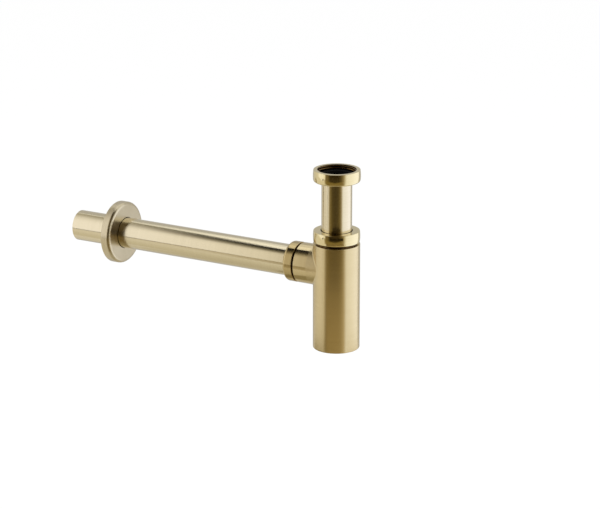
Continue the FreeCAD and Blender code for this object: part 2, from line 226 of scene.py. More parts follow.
# %% [markdown]
# ## Cards for the reflections
#
# A metal tube shows little of its own: it shows the room, squeezed into bands along it, so
# the picture's bands tell what stood round the trap. Bright cards at the right give the cream
# sides, and dim ones at the left and the back give the grey edges. Two low cards close to
# the bottle darken its foot, and a narrow one before the top nut blackens the foot of the
# inlet tube. Lamps could stand there, but a card with a colour ramp says which colour is
# where. Only reflections see the cards, so they throw no shadow and hide nothing.

# %% Sheets that only reflections see
def reflected_only(card):
    """Hides a sheet from everything but reflections."""
    card.visible_camera = False
    card.visible_diffuse = False
    card.visible_shadow = False
    card.visible_transmission = False


def fill(ramp, steps):
    """Gives a colour ramp its steps, each a place from 0 to 1 and a linear colour."""
    ramp.elements.remove(ramp.elements[1])
    for i, (at, colour) in enumerate(steps):
        spot = ramp.elements[0] if i == 0 else ramp.elements.new(at)
        spot.position = at
        spot.color = (*colour, 1)


print("lamps that reflections leave out:", len(bpy.data.lights))

# %% Standing cards
CARD_ROWS = 24


def standing_card(name, start, end, radius, low, high):
    """A card bent round the inlet's axis; its angles are degrees to the right of the camera.
    Gives its material's tree and its places across (0) and up (1) the card."""
    first = CAMERA_AZIMUTH + math.radians(start)
    turn = math.radians(end - start)
    card = bent_sheet(name, lambda u, v: (
        radius * math.sin(first + turn * u),
        -radius * math.cos(first + turn * u),
        low + (high - low) * v,
    ), rows=CARD_ROWS)
    reflected_only(card)
    glow, tree = new_material(name)
    card.data.materials.append(glow)
    place = add(tree, "ShaderNodeUVMap", uv_map="sheet")
    print(name, "covers", end - start, "degrees")
    return tree, add(tree, "ShaderNodeSeparateXYZ", {0: place.outputs[0]})


print("a standing card is bent in", CARD_ROWS, "steps")

# %% Cards round the inlet's axis
CARD_LOW = FLOOR_LEVEL + 5 * MM
# Where a card stands: its distance from the axis, its lower edge and its upper edge.
ALL_ROUND = (0.80, CARD_LOW, 500 * MM)
BELOW_BOTTLE = (0.12, -420 * MM, -222 * MM)
BEFORE_TOP_NUT = (0.05, -76.5 * MM, -70.3 * MM)
# Colours that meet where two cards do.
BRIGHT = (1.13, 1.14, 1.20)
BRIGHTEST = (1.34, 1.38, 1.58)

for name, start, end, stand, left_end, right_end in [
    ("bright_right_card", 46, 99, ALL_ROUND, BRIGHT, BRIGHTEST),
    ("brightest_right_card", 99, 126, ALL_ROUND, BRIGHTEST, (1.30, 1.33, 1.50)),
    ("grey_back_card", 128, 216, ALL_ROUND, (0.62, 0.61, 0.60), (0.58, 0.57, 0.56)),
    ("dim_left_card", -142, -103, ALL_ROUND, (0.72, 0.69, 0.64), (0.90, 0.86, 0.78)),
    ("low_left_card", -125, -50, BELOW_BOTTLE, (0.36, 0.31, 0.19), (0.36, 0.31, 0.19)),
    ("low_right_card", 48, 126, BELOW_BOTTLE, (0.95, 0.91, 0.83), (0.98, 0.95, 0.90)),
    ("dark_foot_card", -28, 22, BEFORE_TOP_NUT, (0.02, 0.013, 0.004), (0.02, 0.013, 0.004)),
]:
    tree, split = standing_card(name, start, end, *stand)
    shades = add(tree, "ShaderNodeValToRGB", {0: split.outputs[0]})
    fill(shades.color_ramp, [(0.0, left_end), (1.0, right_end)])
    light = add(tree, "ShaderNodeEmission", {"Color": shades.outputs[0], "Strength": 1.0})
    add(tree, "ShaderNodeOutputMaterial", {"Surface": light.outputs[0]})

# %% [markdown]
# ## A tan table top
#
# Whatever looks down mirrors the table under the trap, and its tan warms the metal. One flat
# colour would do for the edges. But right below the trap the table lies in the trap's own
# shade, so its colour follows a ramp over the distance from the inlet's axis.

# %% Table top
TABLE_SIZE = 10.0
# Each step is a distance in metres and a colour.
TABLE_SHADES = [
    (0.0, (0.50, 0.46, 0.36)),
    (0.4, (0.58, 0.53, 0.41)),
    (1.1, (0.75, 0.70, 0.57)),
    (2.2, (0.88, 0.83, 0.73)),
]
TABLE_REACH = TABLE_SHADES[-1][0]

table = bent_sheet("tan_table_card", lambda u, v: ((u - 0.5) * TABLE_SIZE, (v - 0.5) * TABLE_SIZE, 0))
table.location.z = CARD_LOW
reflected_only(table)
glow, tree = new_material("tan_table_card")
place = add(tree, "ShaderNodeTexCoord")
away = add(tree, "ShaderNodeVectorMath", {0: place.outputs["Object"]}, operation="LENGTH")
reach = add(tree, "ShaderNodeMath", {0: away.outputs["Value"], 1: TABLE_REACH}, operation="DIVIDE")
shades = add(tree, "ShaderNodeValToRGB", {0: reach.outputs[0]})
fill(shades.color_ramp, [(far / TABLE_REACH, colour) for far, colour in TABLE_SHADES])
light = add(tree, "ShaderNodeEmission", {"Color": shades.outputs[0], "Strength": 1.0})
add(tree, "ShaderNodeOutputMaterial", {"Surface": light.outputs[0]})
table.data.materials.append(glow)
print("table top at", CARD_LOW, "m")

# %% [markdown]
# ## The dark studio in front
#
# Behind the camera the studio is dark, and that gives the brown band down the middle of every
# upright piece. The band isn't one colour: it is nearly black inside, brown at its sides, and
# brown again towards the floor. A painted picture could be mapped on to the card. Three colour
# ramps, one up the card and two across it, say the same with a few numbers.

# %% Shades of the dark studio
DARK_FROM, DARK_TO = -66, 46
DARK_RADIUS = 2.0
DARK_HIGH = 2500 * MM
# The darkness reaches lowest at this angle, and its edge climbs by this much per degree beside it.
DARK_MIDDLE = -12
DARK_CLIMB = 4 * MM
# Each step is a height in millimetres and the colour of the darkness there.
DARK_DEPTHS = [
    (-950, (0.28, 0.205, 0.07)),
    (-800, (0.21, 0.152, 0.042)),
    (-730, (0.08, 0.055, 0.015)),
    (-690, (0.03, 0.02, 0.006)),
    (-650, (0.03, 0.02, 0.006)),
    (-600, (0.06, 0.042, 0.015)),
    (-200, (0.04, 0.026, 0.009)),
    (300, (0.012, 0.007, 0.002)),
]
# Each step is an angle, the share of darkness there and the colour that takes the rest.
BROWN = (0.24, 0.178, 0.06)
DARK_SIDES = [
    (-66, 0.0, (0.80, 0.74, 0.60)),
    (-58, 0.05, (0.30, 0.225, 0.085)),
    (-46, 0.35, BROWN),
    (-35, 1.0, BROWN),
    (8, 1.0, BROWN),
    (18, 0.6, BROWN),
    (26, 0.25, (0.32, 0.25, 0.125)),
    (33, 0.0, (0.46, 0.39, 0.25)),
    (40, 0.0, (0.84, 0.81, 0.74)),
    (46, 0.0, BRIGHT),
]
print("studio is darkest", DARK_MIDDLE, "degrees beside the camera")

# %% Dark studio
tree, split = standing_card("dark_studio", DARK_FROM, DARK_TO, DARK_RADIUS, CARD_LOW, DARK_HIGH)
across, upward = split.outputs[0], split.outputs[1]
span = DARK_TO - DARK_FROM
tall = DARK_HIGH - CARD_LOW
offset = add(tree, "ShaderNodeMath", {0: across, 1: (DARK_MIDDLE - DARK_FROM) / span}, operation="SUBTRACT")
beside = add(tree, "ShaderNodeMath", {0: offset.outputs[0]}, operation="ABSOLUTE")
climb = add(tree, "ShaderNodeMath", {0: beside.outputs[0], 1: span * DARK_CLIMB / tall},
            operation="MULTIPLY")
height = add(tree, "ShaderNodeMath", {0: upward, 1: climb.outputs[0]}, operation="SUBTRACT")
depths = add(tree, "ShaderNodeValToRGB", {0: height.outputs[0]})
fill(depths.color_ramp, [((z * MM - CARD_LOW) / tall, colour) for z, colour in DARK_DEPTHS])
sides = add(tree, "ShaderNodeValToRGB", {0: across})
fill(sides.color_ramp, [((angle - DARK_FROM) / span, (dark, dark, dark)) for angle, dark, _ in DARK_SIDES])
browns = add(tree, "ShaderNodeValToRGB", {0: across})
fill(browns.color_ramp, [((angle - DARK_FROM) / span, colour) for angle, _, colour in DARK_SIDES])
shades = add(tree, "ShaderNodeMix", {0: sides.outputs[0], 6: browns.outputs[0], 7: depths.outputs[0]},
             data_type="RGBA")
light = add(tree, "ShaderNodeEmission", {"Color": shades.outputs[2], "Strength": 1.0})
add(tree, "ShaderNodeOutputMaterial", {"Surface": light.outputs[0]})
print("studio card is", round(tall, 2), "m high")

# %% [markdown]
# ## Brown below the dark
#
# On the bottle the dark band is brown, while on the inlet tube it is black. A brown stretch of
# floor up to the dark studio and a brown card close before the bottle give that difference.
# The dark studio's own colours could be lighter instead, but then the inlet tube would lose
# its black.

# %% Brown floor in front of the dark studio
BROWN_NEAR = 0.40
BROWN_FROM, BROWN_TO = math.radians(-56), math.radians(36)
BROWN_LEVEL = CARD_LOW + 5 * MM


def brown_floor_corner(u, v):
    """From the trap to the studio with u, left to right with v, just above the table top."""
    angle = CAMERA_AZIMUTH + BROWN_FROM + (BROWN_TO - BROWN_FROM) * v
    far = BROWN_NEAR + (DARK_RADIUS - BROWN_NEAR) * u
    return (far * math.sin(angle), -far * math.cos(angle), BROWN_LEVEL)


brown_floor = bent_sheet("brown_floor_card", brown_floor_corner, columns=CARD_ROWS)
reflected_only(brown_floor)
glow, tree = new_material("brown_floor_card")
place = add(tree, "ShaderNodeUVMap", uv_map="sheet")
split = add(tree, "ShaderNodeSeparateXYZ", {0: place.outputs[0]})
shades = add(tree, "ShaderNodeValToRGB", {0: split.outputs[0]})
fill(shades.color_ramp, [(0.0, (0.20, 0.142, 0.05)), (1.0, (0.18, 0.127, 0.044))])
light = add(tree, "ShaderNodeEmission", {"Color": shades.outputs[0], "Strength": 1.0})
add(tree, "ShaderNodeOutputMaterial", {"Surface": light.outputs[0]})
brown_floor.data.materials.append(glow)
print("brown floor reaches from", BROWN_NEAR, "to", DARK_RADIUS, "m")

# %% Brown card before the bottle
FRONT_RADIUS = 0.20
FRONT_LOW, FRONT_HIGH = -450 * MM, -170 * MM
# Each step is an angle and a colour.
FRONT_SHADES = [
    (-54, (0.30, 0.23, 0.105)),
    (-40, (0.42, 0.325, 0.16)),
    (8, (0.45, 0.35, 0.175)),
    (22, (0.50, 0.40, 0.22)),
    (36, (0.70, 0.60, 0.40)),
]
FRONT_FROM, FRONT_TO = FRONT_SHADES[0][0], FRONT_SHADES[-1][0]

tree, split = standing_card("brown_front_card", FRONT_FROM, FRONT_TO, FRONT_RADIUS, FRONT_LOW, FRONT_HIGH)
shades = add(tree, "ShaderNodeValToRGB", {0: split.outputs[0]})
fill(shades.color_ramp, [((angle - FRONT_FROM) / (FRONT_TO - FRONT_FROM), colour)
                         for angle, colour in FRONT_SHADES])
light = add(tree, "ShaderNodeEmission", {"Color": shades.outputs[0], "Strength": 1.0})
add(tree, "ShaderNodeOutputMaterial", {"Surface": light.outputs[0]})

# %% [markdown]
# ## A softbox for the long tube
#
# One large softbox gives the long tube its pale middle, and the dark line near its top where
# the light falls off. A flat box would do for a flat piece. A tube mirrors another angle on
# every line along it, so the box is part of a drum round the tube: an angle on the drum is a
# line on the tube, and the box's edges and fall-off can be set where the picture has them.

# %% Drum round the long tube
TUBE_LEVEL = -106.3 * MM
BOX_RADIUS = 1.0
BOX_ENDS = (-2.4, -0.25)


def along_box(x):
    """How far along the box a place is, from 0 to 1."""
    return (x - BOX_ENDS[0]) / (BOX_ENDS[1] - BOX_ENDS[0])


def edge_at(places, x):
    """The angle of an edge at a place along the box; the edge lists places and degrees."""
    for (x0, a0), (x1, a1) in zip(places, places[1:]):
        if x <= x1:
            return math.radians(a0 + (a1 - a0) * (x - x0) / (x1 - x0))
    return math.radians(places[-1][1])


def on_box(x, angle, radius):
    """The point of a drum round the long tube at an angle above the level towards the front."""
    return (x, -radius * math.cos(angle), TUBE_LEVEL + radius * math.sin(angle))


print("drum round the tube at", TUBE_LEVEL, "m")

# %% Softbox bent over the long tube
# Places along the box in metres, with the angle of its edge there.
# The tube's right end mirrors the box near -0.62, its left end near -0.89.
BOX_BOTTOM = [(-2.4, -18), (-1.02, -18), (-0.98, -13.0), (-0.88, -13.0), (-0.78, -12.4),
              (-0.72, -10.6), (-0.655, -9.6), (-0.25, -9.6)]
BOX_TOP = [(-2.4, 114), (-0.87, 114), (-0.78, 107), (-0.73, 105), (-0.67, 100), (-0.63, 90), (-0.25, 87)]
# One column for every 10 mm, so that the edges follow their lists.
BOX_ROWS, BOX_COLUMNS = 64, 215


def box_corner(u, v):
    """Bottom to top with u, far end to near end with v."""
    x = BOX_ENDS[0] + (BOX_ENDS[1] - BOX_ENDS[0]) * v
    low = edge_at(BOX_BOTTOM, x)
    return on_box(x, low + (edge_at(BOX_TOP, x) - low) * u, BOX_RADIUS)


softbox = bent_sheet("bent_softbox", box_corner, rows=BOX_ROWS, columns=BOX_COLUMNS)
reflected_only(softbox)
print("softbox opens from", BOX_BOTTOM[-1][1], "to", BOX_TOP[-1][1], "degrees")

# %% Shades of the softbox
# Places along the box, with the colour of its cloth there.
BOX_CLOTH = [
    (-2.4, (1.22, 1.20, 1.24)),
    (-0.87, (1.22, 1.20, 1.24)),
    (-0.78, (1.15, 1.12, 1.12)),
    (-0.73, (1.12, 1.09, 1.07)),
    (-0.65, (1.05, 1.00, 0.93)),
    (-0.60, (1.20, 1.14, 1.02)),
    (-0.57, (0.95, 0.89, 0.76)),
    (-0.53, (0.62, 0.57, 0.47)),
    (-0.46, (0.22, 0.165, 0.08)),
    (-0.25, (0.20, 0.15, 0.07)),
]
# Fall-off from the bottom of the box to its top, for the tube's right half and its left end.
FALL_NEAR = [(0.0, 1.0), (0.45, 1.0), (0.586, 0.92), (0.72, 0.24), (0.80, 0.05), (0.86, 0.0), (1.0, 0.0)]
FALL_FAR = [(0.0, 1.0), (0.434, 1.0), (0.68, 0.92), (0.82, 0.65), (0.98, 0.34), (1.0, 0.32)]
BOX_NEAR, BOX_FAR = -0.74, -0.87
# The falling light grows warmer: red, green and blue are the fall-off to these powers.
FALL_WARMTH = (1.0, 1.06, 1.3)
print("cloth has", len(BOX_CLOTH), "steps along the box")

# %% Cloth of the softbox
glow, tree = new_material("softbox_cloth")
place = add(tree, "ShaderNodeUVMap", uv_map="sheet")
split = add(tree, "ShaderNodeSeparateXYZ", {0: place.outputs[0]})
falls = [add(tree, "ShaderNodeValToRGB", {0: split.outputs[0]}) for _ in range(2)]
for fall, steps in zip(falls, (FALL_NEAR, FALL_FAR)):
    fill(fall.color_ramp, [(at, tuple(value ** power for power in FALL_WARMTH)) for at, value in steps])
cloth = add(tree, "ShaderNodeValToRGB", {0: split.outputs[1]})
fill(cloth.color_ramp, [(along_box(x), colour) for x, colour in BOX_CLOTH])
way = add(tree, "ShaderNodeMapRange", {"Value": split.outputs[1], "From Min": along_box(BOX_NEAR),
                                       "From Max": along_box(BOX_FAR)})
fall = add(tree, "ShaderNodeMix", {0: way.outputs[0], 6: falls[0].outputs[0], 7: falls[1].outputs[0]},
           data_type="RGBA")
lit = add(tree, "ShaderNodeMix", {0: 1.0, 6: cloth.outputs[0], 7: fall.outputs[2]},
          data_type="RGBA", blend_type="MULTIPLY")
light = add(tree, "ShaderNodeEmission", {"Color": lit.outputs[2], "Strength": 1.0})
add(tree, "ShaderNodeOutputMaterial", {"Surface": light.outputs[0]})
softbox.data.materials.append(glow)
print("fall-off changes over", round((BOX_NEAR - BOX_FAR) / MM), "mm of the box")

# %% [markdown]
# ## The softbox's lower frame
#
# A bar holds the cloth's lower edge, and the tube mirrors it as the thin dark line under its
# pale middle. The cloth could simply end there, but then the pale band would lose that line.
# The bar is wider towards the flange, because there the picture's line is clearer.

# %% Lower frame of the softbox
FRAME_BOTTOM = [(-1.0, -15.5), (-0.88, -15.0), (-0.78, -13.4), (-0.72, -10.6), (-0.655, -9.6),
                (-0.50, -9.6)]
FRAME_TOP = [(-1.0, -11.5), (-0.88, -11.5), (-0.78, -10.9), (-0.72, -9.1), (-0.655, -9.2), (-0.50, -9.3)]
FRAME_FAR, FRAME_NEAR = FRAME_TOP[0][0], FRAME_TOP[-1][0]
# The bar lies just inside the cloth, and has a column for every 10 mm.
FRAME_RADIUS = BOX_RADIUS - 0.01
FRAME_COLUMNS = 50


def frame_corner(u, v):
    """Bottom to top with u, far end to near end with v."""
    x = FRAME_FAR + (FRAME_NEAR - FRAME_FAR) * v
    low = edge_at(FRAME_BOTTOM, x)
    return on_box(x, low + (edge_at(FRAME_TOP, x) - low) * u, FRAME_RADIUS)


frame_bar = bent_sheet("softbox_frame", frame_corner, columns=FRAME_COLUMNS)
reflected_only(frame_bar)
steel, tree = new_material("dark_frame")
light = add(tree, "ShaderNodeEmission", {"Color": linear("332A1C"), "Strength": 1.0})
add(tree, "ShaderNodeOutputMaterial", {"Surface": light.outputs[0]})
frame_bar.data.materials.append(steel)
print("frame bar", round((FRAME_NEAR - FRAME_FAR) / MM), "mm long")

# %% [markdown]
# ## A bright strip above the softbox
#
# Over the dark line, the top of the long tube has one more bright line. The white world alone
# would give it, but weaker than in the picture, so a strip a little stronger than white lies
# along the box's upper edge.

# %% Bright strip above the softbox
STRIP_ENDS = (-0.74, -0.25)
STRIP_WIDE = math.radians(22)
STRIP_RADIUS = BOX_RADIUS * 1.02
STRIP_STRENGTH = 1.3
STRIP_ROWS, STRIP_COLUMNS = 12, 49


def strip_corner(u, v):
    """From the box's top edge upwards with u, far end to near end with v."""
    x = STRIP_ENDS[0] + (STRIP_ENDS[1] - STRIP_ENDS[0]) * v
    return on_box(x, edge_at(BOX_TOP, x) + STRIP_WIDE * u, STRIP_RADIUS)


strip = bent_sheet("bright_strip", strip_corner, rows=STRIP_ROWS, columns=STRIP_COLUMNS)
reflected_only(strip)
glow, tree = new_material("bright_strip")
light = add(tree, "ShaderNodeEmission", {"Color": WHITE, "Strength": STRIP_STRENGTH})
add(tree, "ShaderNodeOutputMaterial", {"Surface": light.outputs[0]})
strip.data.materials.append(glow)
print("strip is", round(math.degrees(STRIP_WIDE)), "degrees wide")

# %% [markdown]
# ## A dark ceiling beside the softbox
#
# The flange's face looks up to the right, past the softbox, and so does the tube close to it.
# In the picture both are dark there. The softbox could not shade them, because it hangs on
# the other side, so a dark sheet carries on where the box ends.

# %% Dark ceiling beside the softbox
CEILING_ENDS = (-0.25, 1.60)
CEILING_FROM, CEILING_TO = math.radians(25), math.radians(100)
CEILING_RADIUS = BOX_RADIUS * 1.3


def ceiling_corner(u, v):
    """Front edge to back edge with u, away from the softbox with v."""
    x = CEILING_ENDS[0] + (CEILING_ENDS[1] - CEILING_ENDS[0]) * v
    return on_box(x, CEILING_FROM + (CEILING_TO - CEILING_FROM) * u, CEILING_RADIUS)


ceiling = bent_sheet("dark_ceiling", ceiling_corner, rows=CARD_ROWS)
reflected_only(ceiling)
shade, tree = new_material("dark_ceiling")
light = add(tree, "ShaderNodeEmission", {"Color": linear("584A2E"), "Strength": 1.0})
add(tree, "ShaderNodeOutputMaterial", {"Surface": light.outputs[0]})
ceiling.data.materials.append(shade)
print("ceiling is", round(CEILING_ENDS[1] - CEILING_ENDS[0], 2), "m long")

# %% [markdown]
# ## How a turned piece lies
#
# Every brass piece was turned on a lathe, so its finish runs round its axis. Some pieces
# stand, some lie along the long tube, and the bottle does both: its branch lies. The shader
# needs the way out from the axis, and a piece needs zones, such as a bore that was never
# brushed. Both could be painted on by hand. Here they are worked out from the object's own
# coordinates: the radius plus a constant share of the axis leaves the axis on a side wall
# and the radius on an end face, and a zone is a list of limits.

# %% Zones of a piece
AXIS_SHARE = 20 * MM
# A limit is a coordinate (0 to 2 for x to z, 3 for the reach from the axis), a comparison and a value.
BRANCH = [(0, "LESS_THAN", -25.5 * MM)]
NECKS = [(2, "GREATER_THAN", -79.25 * MM), (0, "LESS_THAN", -40.65 * MM)]


def within(radius):
    """The zone nearer to the piece's axis than a radius in millimetres."""
    return [(3, "LESS_THAN", math.hypot(radius * MM, AXIS_SHARE))]


def inside(tree, coordinates, zone):
    """1 where one of a zone's limits holds, 0 elsewhere."""
    mask = 0.0
    for which, comparison, limit in zone:
        held = add(tree, "ShaderNodeMath", {0: coordinates[which], 1: limit}, operation=comparison)
        mask = add(tree, "ShaderNodeMath", {0: mask, 1: held.outputs[0]}, operation="MAXIMUM").outputs[0]
    return mask


print("necks are bare above", NECKS[0][2], "m")

# %% Ways out from the axis
def turned_ways(tree, place, lie):
    """The coordinates with the reach from the axis, the share that lies, from 0 to 1, and the way out.
    A piece lies upright, lying or both, as the bottle with its branch."""
    split = add(tree, "ShaderNodeSeparateXYZ", {0: place})
    drop = add(tree, "ShaderNodeMath", {0: split.outputs[2], 1: TUBE_LEVEL}, operation="SUBTRACT")
    stand_way = add(tree, "ShaderNodeCombineXYZ", {0: split.outputs[0], 1: split.outputs[1], 2: AXIS_SHARE})
    lie_way = add(tree, "ShaderNodeCombineXYZ", {0: AXIS_SHARE, 1: split.outputs[1], 2: drop.outputs[0]})
    # Both ways hold the same constant share of the axis, so their length grows with the radius alone.
    own_way = lie_way if lie == "lying" else stand_way
    reach = add(tree, "ShaderNodeVectorMath", {0: own_way.outputs[0]}, operation="LENGTH")
    coordinates = [*split.outputs, reach.outputs["Value"]]
    share = inside(tree, coordinates, BRANCH) if lie == "both" else float(lie == "lying")
    way = add(tree, "ShaderNodeMix", {0: share, 4: stand_way.outputs[0], 5: lie_way.outputs[0]},
              data_type="VECTOR")
    world_way = add(tree, "ShaderNodeVectorTransform", {0: way.outputs[1]},
                    vector_type="VECTOR", convert_from="OBJECT", convert_to="WORLD")
    return coordinates, share, world_way.outputs[0]


print("constant share of the axis:", AXIS_SHARE, "m")

# %% [markdown]
# ## Brushed brass
#
# The tubes, the bottle and the flange are brass, brushed on the lathe: an abrasive pad is held
# against the turning piece, so the fine scratches run round it. Such a surface mirrors
# sharply along the scratches and smears across them, which is why the bands on the bottle
# have crisp sides and no top or bottom. Scratches cut into the mesh would need millions of
# faces, so the smear is the shader's anisotropy, along the piece's axis, and the scratches
# are stretched noise that tints the metal and lifts it a few thousandths of a millimetre.

# %% Scratches, gloss, and bare brass with painted shade
# A pad's scratches are near 0.05 mm apart. They are drawn coarser, because finer ones wouldn't show.
SCRATCH_SPACING = 0.9 * MM
SCRATCH_LENGTH = 30 * MM
ALONG, ROUND = 1 / SCRATCH_SPACING, 1 / SCRATCH_LENGTH
# Lacquer and handling leave the gloss slightly uneven, in patches of this size and by these factors.
HANDLING_SIZE = 35 * MM
UNEVEN_LOW, UNEVEN_HIGH = 0.96, 1.05
# Most of a noise lies between these values.
NOISE_LOW, NOISE_HIGH = 0.3, 0.7
# Bare brass in bores and necks was left as the tool cut it, duller than the brushed faces; its dark brown is
# also painted shade, for the shade inside the bores and in the gaps under the nuts.
BARE_AND_SHADE = "4E3A1E"
print("scratches drawn", round(SCRATCH_SPACING / MM, 2), "mm apart")

# %% Brass with scratches round it
def brass(name, lie, colours, rough, smear, depth, bare=(), bare_colour=BARE_AND_SHADE, other=(), other_rough=0.0):
    """Turned brass in a light and a dark colour, with scratches of a depth round it.
    The bare zone is dull bare brass in a colour of its own, by default a dark brown that also paints the
    shade in bores and gaps; the other zone has a roughness of its own."""
    light, dark = colours
    material, tree = new_material(name)
    place = add(tree, "ShaderNodeTexCoord").outputs["Object"]
    coordinates, share, way = turned_ways(tree, place, lie)
    spread = add(tree, "ShaderNodeMix", {0: share, 4: (ROUND, ROUND, ALONG), 5: (ALONG, ROUND, ROUND)},
                 data_type="VECTOR")
    drawn = add(tree, "ShaderNodeVectorMath", {0: place, 1: spread.outputs[1]}, operation="MULTIPLY")
    scratches = add(tree, "ShaderNodeTexNoise",
                    {"Vector": drawn.outputs[0], "Scale": 1.0, "Detail": 3.0, "Roughness": 0.6})
    tone = add(tree, "ShaderNodeMapRange",
               {"Value": scratches.outputs[0], "From Min": NOISE_LOW, "From Max": NOISE_HIGH})
    shades = add(tree, "ShaderNodeMix", {0: tone.outputs[0], 6: linear(dark), 7: linear(light)},
                 data_type="RGBA")
    shown = add(tree, "ShaderNodeMix", {0: inside(tree, coordinates, bare), 6: shades.outputs[2],
                                        7: linear(bare_colour)}, data_type="RGBA")
    handling = add(tree, "ShaderNodeTexNoise", {"Vector": place, "Scale": 1 / HANDLING_SIZE, "Detail": 2.0})
    uneven = add(tree, "ShaderNodeMapRange",
                 {"Value": handling.outputs[0], "From Min": NOISE_LOW, "From Max": NOISE_HIGH,
                  "To Min": UNEVEN_LOW, "To Max": UNEVEN_HIGH})
    even = add(tree, "ShaderNodeMix", {0: inside(tree, coordinates, other), 2: rough, 3: other_rough})
    gloss = add(tree, "ShaderNodeMath", {0: uneven.outputs[0], 1: even.outputs[0]}, operation="MULTIPLY")
    relief = add(tree, "ShaderNodeBump",
                 {"Height": scratches.outputs[0], "Strength": 1.0, "Distance": depth})
    metal = add(tree, "ShaderNodeBsdfPrincipled", {
        "Base Color": shown.outputs[2],
        "Metallic": 1.0,
        "Roughness": gloss.outputs[0],
        "Anisotropic": smear,
        "Normal": relief.outputs[0],
        "Tangent": way,
    })
    add(tree, "ShaderNodeOutputMaterial", {"Surface": metal.outputs[0]})
    return material


# The default bare colour is bare brass darkened with painted shade.
print("bare brass in linear light:", [round(c, 3) for c in linear(BARE_AND_SHADE)])

# %% [markdown]
# ## The brushed pieces
#
# The bottle was brushed with a coarse pad, so its bands melt into one another; its branch, the
# outlet nut and the tubes got a finer one and mirror more sharply. The flange is the dullest:
# its flat face was brushed in circles. One material could do for all, but each piece has
# its own colour and gloss in the picture, so one function makes a brass for each.

# %% Brushed pieces
BOTTLE_COLOURS = ("D2C298", "CCBB91")
# The bottle's necks and the inlet and outlet bores get the dark bare colour, which is also painted shade
# inside them; the wall tube's bore has a lighter colour of its own.
INLET_BORE, WALL_BORE, OUTLET_BORE = within(15.5), within(16.1), within(17.5)


def dress(node, material):
    """Gives a piece of the model its finish."""
    slots = nodes[node].data.materials
    slots.clear()
    slots.append(material)
    print(node, "in", material.name)


dress("bottle_body", brass("brass_brushed_bottle", "both", BOTTLE_COLOURS, rough=0.26, smear=0.8,
                           depth=0.005 * MM, bare=NECKS, other=BRANCH, other_rough=0.14))
dress("cleaning_plug", brass("brass_brushed_plug", "upright", BOTTLE_COLOURS, rough=0.26, smear=0.6,
                             depth=0.005 * MM))
dress("inlet_tube", brass("brass_brushed_upright", "upright", ("DBD0B2", "D6CAAB"), rough=0.16, smear=0.75,
                          depth=0.003 * MM, bare=INLET_BORE))
# The wall tube's bore shows at its open end: drawn brass, clean but dull.
dress("wall_tube", brass("brass_brushed_lying", "lying", ("DCD1B3", "D7CCAD"), rough=0.14, smear=0.85,
                         depth=0.002 * MM, bare=WALL_BORE, bare_colour="A68F60",
                         other=WALL_BORE, other_rough=0.65))
dress("outlet_nut", brass("brass_brushed_outlet", "lying", ("BFAC7E", "B9A677"), rough=0.14, smear=0.8,
                          depth=0.002 * MM, bare=OUTLET_BORE))
dress("wall_flange", brass("brass_brushed_flange", "lying", ("D0C5A8", "C8BC9E"), rough=0.30, smear=0.4,
                           depth=0.005 * MM))

# %% [markdown]
# ## Polished brass
#
# The union nut and the top nut are the same brass, polished on a wheel and lacquered. They
# mirror the room almost sharply and look yellower than the brushed pieces, because a
# mirror keeps the metal's colour where scratches mix in white. The brushed brass with shallow
# scratches, little smear and a low roughness gives that, so no new graph is needed.

# %% Polished nuts
# Inside these radii, in millimetres, the nuts are bare: the union's threaded mouth, the top nut's hole. Their
# dark bare colour is also painted shade inside them.
for node, bore in (("inlet_union_nut", 20.5), ("bottle_top_nut", 16.9)):
    dress(node, brass("brass_polished_" + node, "upright", ("E0D3A8", "DBCDA0"), rough=0.10, smear=0.3,
                      depth=0.001 * MM, bare=within(bore)))

# %% [markdown]
# ## Rubber seals
#
# The washer, the cone seals and the rings are moulded nitrile rubber: black and dull, with the
# fine grain of its mould, and a bloom of wax that greys it in patches. A plain black would
# lose its shape in the dark of the nut, so one noise greys and dulls it, and a finer one
# lifts the grain.

# %% Moulded rubber
# The mould's grain is near 0.1 mm and is drawn coarser, because it wouldn't show.
RUBBER_GRAIN = 0.5 * MM
RUBBER_RELIEF = 0.02 * MM
BLOOM_SIZE = 9 * MM

rubber, tree = new_material("nitrile_rubber_moulded")
place = add(tree, "ShaderNodeTexCoord").outputs["Object"]
grain = add(tree, "ShaderNodeTexNoise", {"Vector": place, "Scale": 1 / RUBBER_GRAIN})
bloom = add(tree, "ShaderNodeTexNoise", {"Vector": place, "Scale": 1 / BLOOM_SIZE})
colours = add(tree, "ShaderNodeMix", {0: bloom.outputs[0], 6: linear("060606"), 7: linear("0F0F0E")},
              data_type="RGBA")
dull = add(tree, "ShaderNodeMapRange", {"Value": bloom.outputs[0], "To Min": 0.7, "To Max": 0.85})
relief = add(tree, "ShaderNodeBump",
             {"Height": grain.outputs[0], "Strength": 1.0, "Distance": RUBBER_RELIEF})
skin = add(tree, "ShaderNodeBsdfPrincipled", {
    "Base Color": colours.outputs[2],
    "Roughness": dull.outputs[0],
    "IOR": 1.52,
    "Specular IOR Level": 0.1,
    "Normal": relief.outputs[0],
})
add(tree, "ShaderNodeOutputMaterial", {"Surface": skin.outputs[0]})
for node in ("inlet_flat_washer", "top_cone_seal", "outlet_cone_seal", "flange_o_ring", "plug_o_ring"):
    dress(node, rubber)

# %% [markdown]
# ## Plastic slip rings
#
# The slip rings between nut and seal are moulded polyethylene, so that the nut turns without
# twisting the rubber. It is milky and waxy: some light goes in and comes out beside, which
# a plain white paint wouldn't show. A little subsurface light does that.

# %% Moulded plastic
# The mould's grain is drawn coarser than the real 0.1 mm, because that wouldn't show.
PLASTIC_GRAIN = 0.8 * MM
PLASTIC_RELIEF = 0.01 * MM
LIGHT_DEPTH = 1.5 * MM

